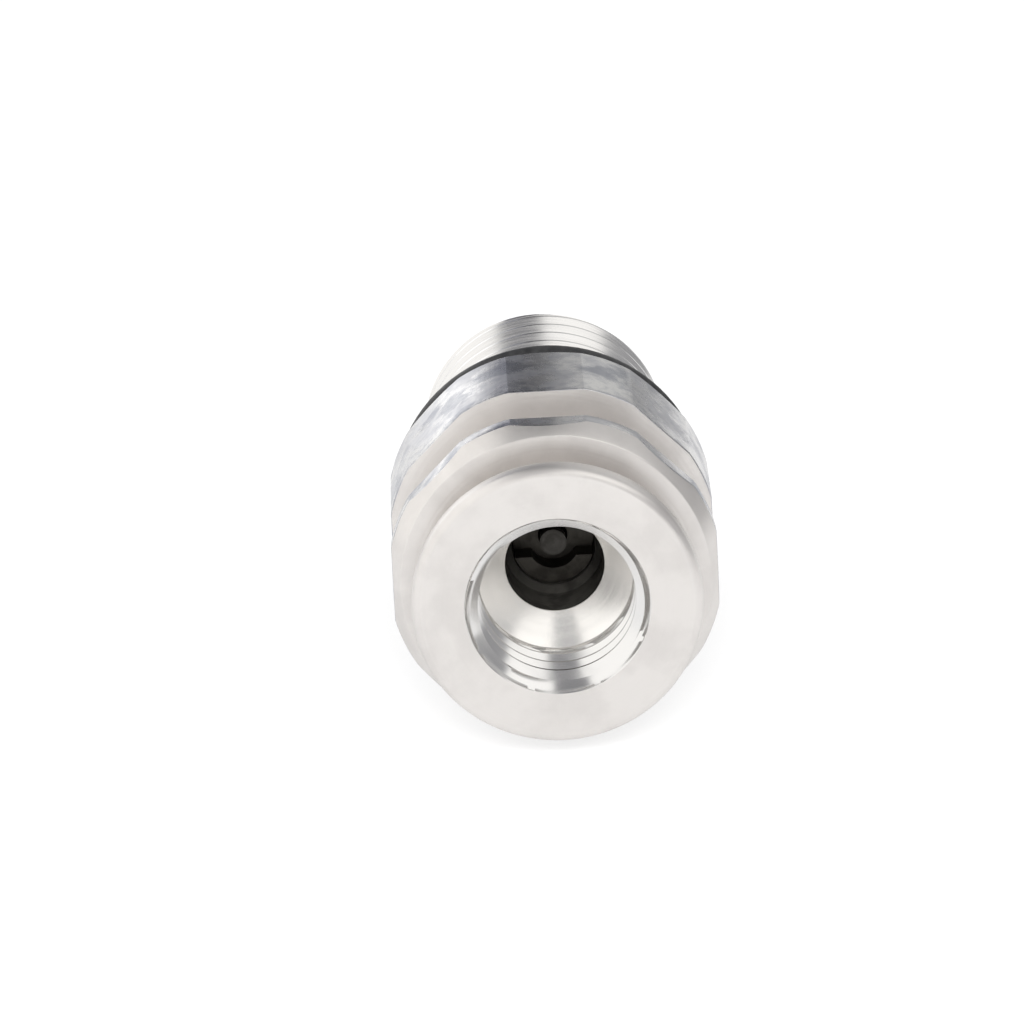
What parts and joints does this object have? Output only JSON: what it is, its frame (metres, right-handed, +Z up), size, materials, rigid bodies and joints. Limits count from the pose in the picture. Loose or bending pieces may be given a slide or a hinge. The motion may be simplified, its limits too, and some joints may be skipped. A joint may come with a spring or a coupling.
{
  "type": "refrigerant service valve",
  "caption": "Refrigerant service port valve: coupler lip and threaded mouth, eight-flat wrench collar, sealing ring, threaded nose, and a sprung valve core inside.",
  "frame": {"origin": "on the surface it lies on, under the middle of its box; the valve's axis is 9 mm above it", "axes": "+Y along the valve's axis, from the mouth to the threaded nose; +Z up, square to one wrench flat; +X to the right when looking into the mouth"},
  "size_m": [0.018, 0.0318, 0.018],
  "materials": {
    "plated_metal": "bright nickel plate, satin on the turned faces",
    "seal_rubber": "black, slightly oiled",
    "dark_metal": "dark oxide",
    "brass": "turned",
    "gasket_plastic": "plain",
    "pin_steel": "drawn wire",
    "spring_steel": "drawn wire"
  },
  "bodies": {
    "valve": {"valve_body": "plated_metal", "base_seal": "seal_rubber", "core_plug": "dark_metal", "core_barrel": "brass", "barrel_gasket": "gasket_plastic", "core_spring": "spring_steel"},
    "shutoff": {"core_pin": "pin_steel", "core_cup": "brass", "cup_seal": "seal_rubber"}
  },
  "joints": [
    {"name": "core_press", "type": "slide", "parent": "valve", "child": "shutoff", "axis": [0, 1, 0], "range_m": [0, 0.0012], "stiffness_N_per_m": 1500, "springref_m": -0.002, "deforming": ["core_spring"]}
  ]
}
